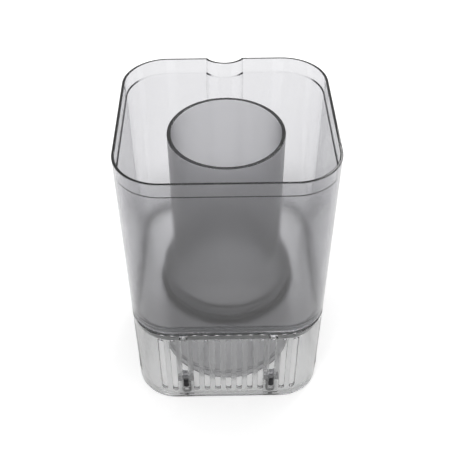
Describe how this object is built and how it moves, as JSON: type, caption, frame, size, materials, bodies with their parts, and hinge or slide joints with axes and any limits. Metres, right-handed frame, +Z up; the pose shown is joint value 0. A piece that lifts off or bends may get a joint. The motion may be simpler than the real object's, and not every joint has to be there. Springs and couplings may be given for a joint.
{
  "type": "canister filter",
  "caption": "Open square translucent filter canister with a central riser tube, standing in a slotted strainer base on rubber feet.",
  "frame": {"origin": "centre of the footprint, on the surface that the feet stand on", "axes": "+Z up, -Y towards the front, +X to the right seen from the front; the hose groove is in the middle of the back (+Y)"},
  "size_m": [0.12, 0.1176, 0.186],
  "materials": {
    "smoke_plastic": "smoke grey translucent moulding, glossy",
    "clear_plastic": "lighter smoke translucent moulding, fine satin",
    "black_rubber": "matt soft rubber"
  },
  "bodies": {
    "strainer": {"strainer_base": "clear_plastic", "parting_gasket": "black_rubber", "foot_front_left": "black_rubber", "foot_front_right": "black_rubber", "foot_back_left": "black_rubber", "foot_back_right": "black_rubber"},
    "canister": {"canister_tub": "smoke_plastic", "socket_neck": "smoke_plastic", "collar_nut": "smoke_plastic", "floor_seal": "black_rubber", "neck_seal": "clear_plastic"},
    "riser": {"riser_tube": "smoke_plastic", "riser_seal": "black_rubber"},
    "latch_fl": {"latch_front_left": "smoke_plastic"},
    "latch_fr": {"latch_front_right": "smoke_plastic"},
    "latch_bl": {"latch_back_left": "smoke_plastic"},
    "latch_br": {"latch_back_right": "smoke_plastic"}
  },
  "joints": [
    {"name": "canister_lift", "type": "slide", "parent": "strainer", "child": "canister", "axis": [0, 0, 1], "range_m": [0, 0.075]},
    {"name": "riser_lift", "type": "slide", "parent": "canister", "child": "riser", "axis": [0, 0, 1], "range_m": [0, 0.13]},
    {"name": "latch_front_left_squeeze", "type": "hinge", "parent": "canister", "child": "latch_fl", "pos_m": [-0.0276, -0.0528, 0.0593], "axis": [1, 0, 0], "range_deg": [0, 4], "stiffness_Nm_per_rad": 0.12},
    {"name": "latch_front_right_squeeze", "type": "hinge", "parent": "canister", "child": "latch_fr", "pos_m": [0.0276, -0.0528, 0.0593], "axis": [1, 0, 0], "range_deg": [0, 4], "stiffness_Nm_per_rad": 0.12},
    {"name": "latch_back_left_squeeze", "type": "hinge", "parent": "canister", "child": "latch_bl", "pos_m": [-0.0276, 0.0528, 0.0593], "axis": [-1, 0, 0], "range_deg": [0, 4], "stiffness_Nm_per_rad": 0.12},
    {"name": "latch_back_right_squeeze", "type": "hinge", "parent": "canister", "child": "latch_br", "pos_m": [0.0276, 0.0528, 0.0593], "axis": [-1, 0, 0], "range_deg": [0, 4], "stiffness_Nm_per_rad": 0.12}
  ]
}
